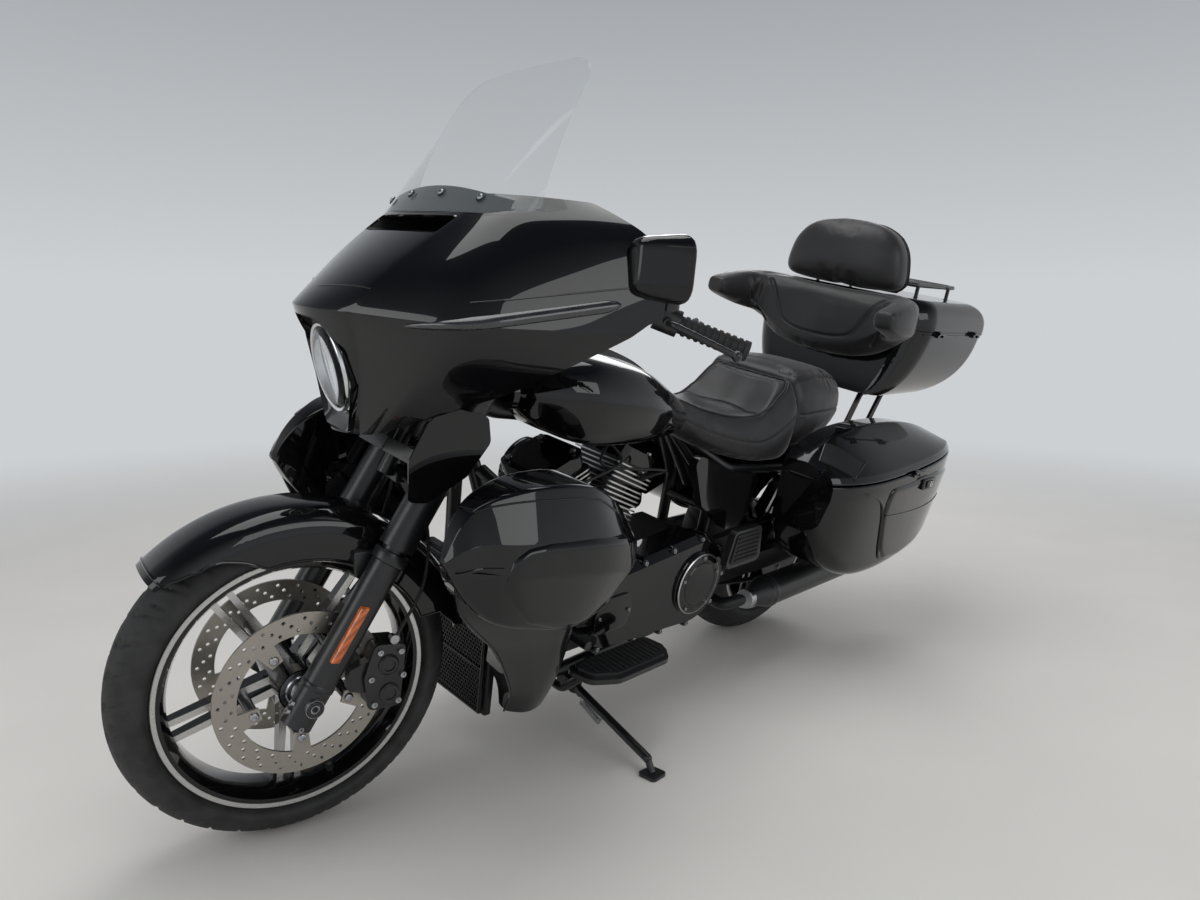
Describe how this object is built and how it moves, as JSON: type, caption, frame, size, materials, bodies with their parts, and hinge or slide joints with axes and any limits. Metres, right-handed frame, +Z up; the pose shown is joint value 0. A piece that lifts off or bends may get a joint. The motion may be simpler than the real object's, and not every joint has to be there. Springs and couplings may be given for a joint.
{
  "type": "touring cruiser motorcycle",
  "caption": "Full-dress touring motorcycle on its side stand: fork-mounted fairing with tall screen, lower fairings, open V-twin, hard saddlebags, top case with backrest and rack.",
  "frame": {"origin": "centre of the bounding box in plan, on the ground", "axes": "+X forward, +Y to the rider's left, +Z up; the bike leans left on its stand"},
  "size_m": [2.7325, 1.0875, 1.5067],
  "materials": {
    "amber_lens": "gloss",
    "black_alloy": "satin",
    "black_leather": "satin",
    "black_paint": "gloss",
    "black_plastic": "gloss",
    "clear_screen": "clear",
    "lamp": "clear",
    "matte_plastic": "matte",
    "red_lens": "gloss",
    "rubber": "matte",
    "satin_black": "satin",
    "steel": "brushed",
    "tyre": "matte"
  },
  "bodies": {
    "root": {"frame": "satin_black", "swingarm": "satin_black", "rear_axle": "steel", "rear_shocks": "satin_black", "drive_belt": "rubber", "engine_case": "black_alloy", "cylinders": "black_alloy", "rocker_covers": "black_paint", "primary_cover": "black_paint", "cam_cover": "black_paint", "air_cleaner": "black_paint", "exhaust": "satin_black", "fuel_tank": "black_paint", "tank_console": "black_paint", "seat": "black_leather", "saddlebag_left": "black_paint", "saddlebag_right": "black_paint", "tour_box": "black_paint", "backrest": "black_leather", "tour_rack": "satin_black", "rear_fender": "black_paint", "rear_lamps": "red_lens", "side_covers": "black_paint", "lower_fairings": "black_paint", "radiator_grilles": "matte_plastic", "engine_guard": "satin_black", "floorboards": "black_alloy", "foot_controls": "black_alloy"},
    "steering": {"fork_legs": "satin_black", "fork_clamps": "satin_black", "fork_deflectors": "black_paint", "front_axle": "steel", "front_calipers": "satin_black", "front_fender": "black_paint", "fairing_shell": "black_paint", "fairing_inner": "matte_plastic", "headlamp": "lamp", "signal_strips": "amber_lens", "windscreen": "clear_screen", "handlebar": "satin_black", "grips": "rubber", "hand_controls": "satin_black", "mirrors": "black_plastic"},
    "front_wheel": {"front_tyre": "tyre", "front_rim": "black_alloy", "front_discs": "steel"},
    "rear_wheel": {"rear_tyre": "tyre", "rear_rim": "black_alloy", "rear_disc": "steel", "rear_pulley": "black_alloy"},
    "side_stand": {"side_stand": "satin_black"},
    "tour_lid": {"tour_lid": "black_paint", "luggage_rack": "satin_black", "backrest_top": "black_leather"},
    "bag_lid_left": {"bag_lid_left": "black_paint"},
    "bag_lid_right": {"bag_lid_right": "black_paint"}
  },
  "joints": [
    {"name": "steering", "type": "hinge", "parent": "root", "child": "steering", "pos_m": [0.79714, -0.03571, 0.85517], "axis": [-0.4404, 0.1838, 0.8788], "range_deg": [-20, 46]},
    {"name": "front_wheel_spin", "type": "hinge", "parent": "steering", "child": "front_wheel", "pos_m": [1.05217, -0.14511, 0.31798], "axis": [0.2024, 0.9739, -0.1022], "continuous": true},
    {"name": "rear_wheel_spin", "type": "hinge", "parent": "root", "child": "rear_wheel", "pos_m": [-0.57314, -0.14626, 0.32273], "axis": [0.0005, 0.9789, -0.2045], "continuous": true},
    {"name": "side_stand_swing", "type": "hinge", "parent": "root", "child": "side_stand", "pos_m": [0.36736, -0.03739, 0.11259], "axis": [-0.0147, 0.3681, 0.9297], "range_deg": [0, 92.4]},
    {"name": "tour_lid_hinge", "type": "hinge", "parent": "root", "child": "tour_lid", "pos_m": [-1.07468, 0.31479, 0.97344], "axis": [-1, 0, -0.0024], "range_deg": [0, 75]},
    {"name": "bag_lid_left_hinge", "type": "hinge", "parent": "root", "child": "bag_lid_left", "pos_m": [-0.69371, 0.35992, 0.56444], "axis": [-1, 0, -0.0024], "range_deg": [0, 80]},
    {"name": "bag_lid_right_hinge", "type": "hinge", "parent": "root", "child": "bag_lid_right", "pos_m": [-0.69414, -0.51323, 0.74686], "axis": [1, 0, 0.0024], "range_deg": [0, 80]}
  ]
}
